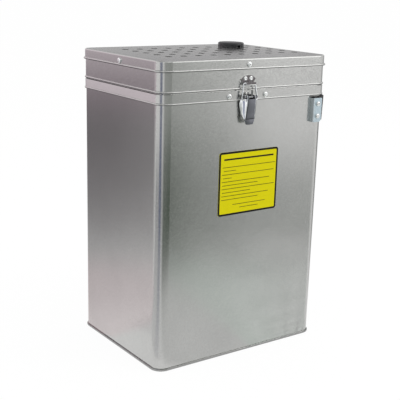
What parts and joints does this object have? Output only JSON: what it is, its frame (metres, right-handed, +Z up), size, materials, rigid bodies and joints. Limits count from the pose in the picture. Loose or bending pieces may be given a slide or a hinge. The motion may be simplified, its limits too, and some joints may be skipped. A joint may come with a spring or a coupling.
{
  "type": "battery cabinet",
  "caption": "Double-walled steel cabinet for portable batteries, with a perforated hinged lid, toggle latch, cable port and rubber carrying strap.",
  "frame": {"origin": "middle of the flat bottom panel, on the surface that the cabinet stands on", "axes": "+Z up, -Y towards the front with the latch and the label, +X to the right with the strap"},
  "size_m": [0.3583, 0.2749, 0.508],
  "materials": {
    "shell_steel": "galvanised, fine even grain, satin",
    "liner_steel": "galvanised, satin",
    "plated_steel": "zinc plated, bluish, satin",
    "latch_chrome": "nickel plated, bright",
    "fastener_steel": "zinc plated, bright",
    "strap_rubber": "matt black rubber",
    "port_rubber": "black moulded rubber",
    "seal_rubber": "soft cellular rubber",
    "insulation_board": "pressed mineral fibre board",
    "filter_felt": "dark fibre mat",
    "label_film": "yellow film with a black border"
  },
  "bodies": {
    "cabinet": {"bottom_pan": "shell_steel", "collar": "shell_steel", "collar_screws": "fastener_steel", "hinge_leaf_lower_left": "plated_steel", "hinge_leaf_lower_right": "plated_steel", "hinge_pins": "plated_steel", "hinge_rivets_lower": "fastener_steel", "inner_liner_back": "liner_steel", "inner_liner_floor": "liner_steel", "inner_liner_front": "liner_steel", "inner_liner_left": "liner_steel", "inner_liner_right": "liner_steel", "insulation_back": "insulation_board", "insulation_bottom": "insulation_board", "insulation_front": "insulation_board", "insulation_left": "insulation_board", "insulation_right": "insulation_board", "label_panel": "label_film", "latch_base": "latch_chrome", "latch_base_rivets": "fastener_steel", "latch_pivot_pin": "latch_chrome", "outer_shell": "shell_steel", "strap_cap_front": "plated_steel", "strap_cap_rear": "plated_steel", "strap_handle": "strap_rubber", "strap_screws": "fastener_steel"},
    "lid": {"lid_band": "shell_steel", "lid_cap": "shell_steel", "lid_cap_screws": "fastener_steel", "lid_inner_pan": "liner_steel", "lid_insulation": "insulation_board", "lid_gasket": "seal_rubber", "filter_frame": "liner_steel", "filter_pad": "filter_felt", "vent_screen": "liner_steel", "vent_screen_screws": "fastener_steel", "cable_port_cap": "port_rubber", "cable_port_ferrule": "liner_steel", "latch_keeper": "latch_chrome", "keeper_rivets": "fastener_steel", "hinge_leaf_upper_left": "plated_steel", "hinge_leaf_upper_right": "plated_steel", "hinge_rivets_upper": "fastener_steel"},
    "lever": {"latch_lever": "latch_chrome"},
    "bail": {"latch_bail": "latch_chrome"}
  },
  "joints": [
    {"name": "lid_hinge", "type": "hinge", "parent": "cabinet", "child": "lid", "pos_m": [0, 0.132, 0.451], "axis": [-1, 0, 0], "range_deg": [0, 110]},
    {"name": "latch_lever", "type": "hinge", "parent": "cabinet", "child": "lever", "pos_m": [-0.0045, -0.134, 0.44], "axis": [-1, 0, 0], "range_deg": [0, 120]},
    {"name": "latch_bail", "type": "hinge", "parent": "lever", "child": "bail", "pos_m": [-0.0045, -0.13229, 0.4353], "axis": [-1, 0, 0], "range_deg": [-104, 0]}
  ],
  "couplings": [
    {"joint": "latch_bail", "follows": "latch_lever", "ratio": -0.86}
  ]
}
